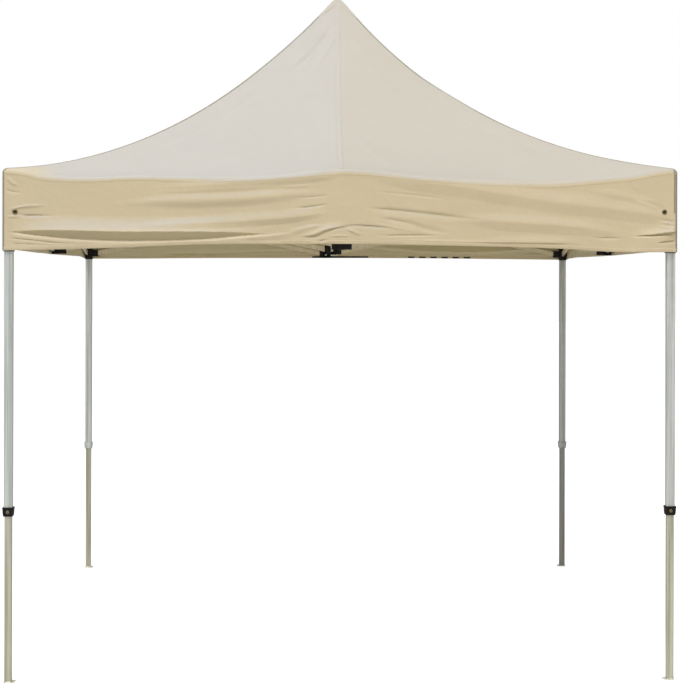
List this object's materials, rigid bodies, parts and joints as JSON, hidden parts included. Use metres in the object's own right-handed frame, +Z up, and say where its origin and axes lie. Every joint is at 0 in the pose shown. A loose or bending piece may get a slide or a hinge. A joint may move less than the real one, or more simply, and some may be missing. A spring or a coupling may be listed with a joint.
{
  "type": "marquee tent",
  "caption": "Square peaked marquee tent: a cloth roof with hanging valances on a folding metal frame, standing on telescoping corner legs whose lower halves slide up.",
  "frame": {"origin": "on the floor under the peak, at the bottom centre of the box", "axes": "+Z up; the front faces -Y; +X is to the right seen from the front"},
  "size_m": [3, 3, 3.2799],
  "materials": {
    "canopy_cloth": "beige woven cloth with a matt coating",
    "upper_leg_metal": "satin silver-grey",
    "lower_leg_metal": "satin grey with an olive cast",
    "bar_metal": "satin light warm grey",
    "black_plastic": "moulded black"
  },
  "bodies": {
    "frame": {"roof_panel_front_a": "canopy_cloth", "roof_panel_front_b": "canopy_cloth", "roof_panel_right_a": "canopy_cloth", "roof_panel_right_b": "canopy_cloth", "roof_panel_back_a": "canopy_cloth", "roof_panel_back_b": "canopy_cloth", "roof_panel_left_a": "canopy_cloth", "roof_panel_left_b": "canopy_cloth", "valance_front": "canopy_cloth", "valance_right": "canopy_cloth", "valance_back": "canopy_cloth", "valance_left": "canopy_cloth", "upper_leg_front_left": "upper_leg_metal", "upper_leg_front_right": "upper_leg_metal", "upper_leg_back_left": "upper_leg_metal", "upper_leg_back_right": "upper_leg_metal", "leg_collar_front_left": "black_plastic", "leg_collar_front_right": "black_plastic", "leg_collar_back_left": "upper_leg_metal", "leg_collar_back_right": "upper_leg_metal", "corner_bracket_front_left": "black_plastic", "corner_bracket_front_right": "black_plastic", "corner_bracket_back_left": "black_plastic", "corner_bracket_back_right": "black_plastic", "corner_slider_front_left": "black_plastic", "corner_slider_front_right": "black_plastic", "corner_slider_back_left": "black_plastic", "corner_slider_back_right": "black_plastic", "upper_side_bracket_front": "black_plastic", "upper_side_bracket_right": "black_plastic", "upper_side_bracket_back": "black_plastic", "upper_side_bracket_left": "black_plastic", "lower_side_bracket_front": "black_plastic", "lower_side_bracket_right": "black_plastic", "lower_side_bracket_back": "black_plastic", "lower_side_bracket_left": "black_plastic", "bar_pair_front_a": "bar_metal", "bar_pair_front_b": "bar_metal", "bar_pair_right_a": "bar_metal", "bar_pair_right_b": "bar_metal", "bar_pair_back_a": "bar_metal", "bar_pair_back_b": "bar_metal", "bar_pair_left_a": "bar_metal", "bar_pair_left_b": "bar_metal", "bar_pair_middle_front": "bar_metal", "bar_pair_middle_right": "bar_metal", "bar_pair_middle_back": "bar_metal", "bar_pair_middle_left": "bar_metal", "hub_top": "black_plastic", "hub_bottom": "black_plastic", "peak_pole": "bar_metal", "peak_cap": "black_plastic"},
    "inner_leg_front_left": {"lower_leg_front_left": "lower_leg_metal"},
    "inner_leg_front_right": {"lower_leg_front_right": "lower_leg_metal"},
    "inner_leg_back_left": {"lower_leg_back_left": "lower_leg_metal"},
    "inner_leg_back_right": {"lower_leg_back_right": "lower_leg_metal"}
  },
  "joints": [
    {"name": "leg_slide_front_left", "type": "slide", "parent": "frame", "child": "inner_leg_front_left", "axis": [0, 0, 1], "range_m": [0, 0.72]},
    {"name": "leg_slide_front_right", "type": "slide", "parent": "frame", "child": "inner_leg_front_right", "axis": [0, 0, 1], "range_m": [0, 0.72]},
    {"name": "leg_slide_back_left", "type": "slide", "parent": "frame", "child": "inner_leg_back_left", "axis": [0, 0, 1], "range_m": [0, 0.72]},
    {"name": "leg_slide_back_right", "type": "slide", "parent": "frame", "child": "inner_leg_back_right", "axis": [0, 0, 1], "range_m": [0, 0.72]}
  ]
}
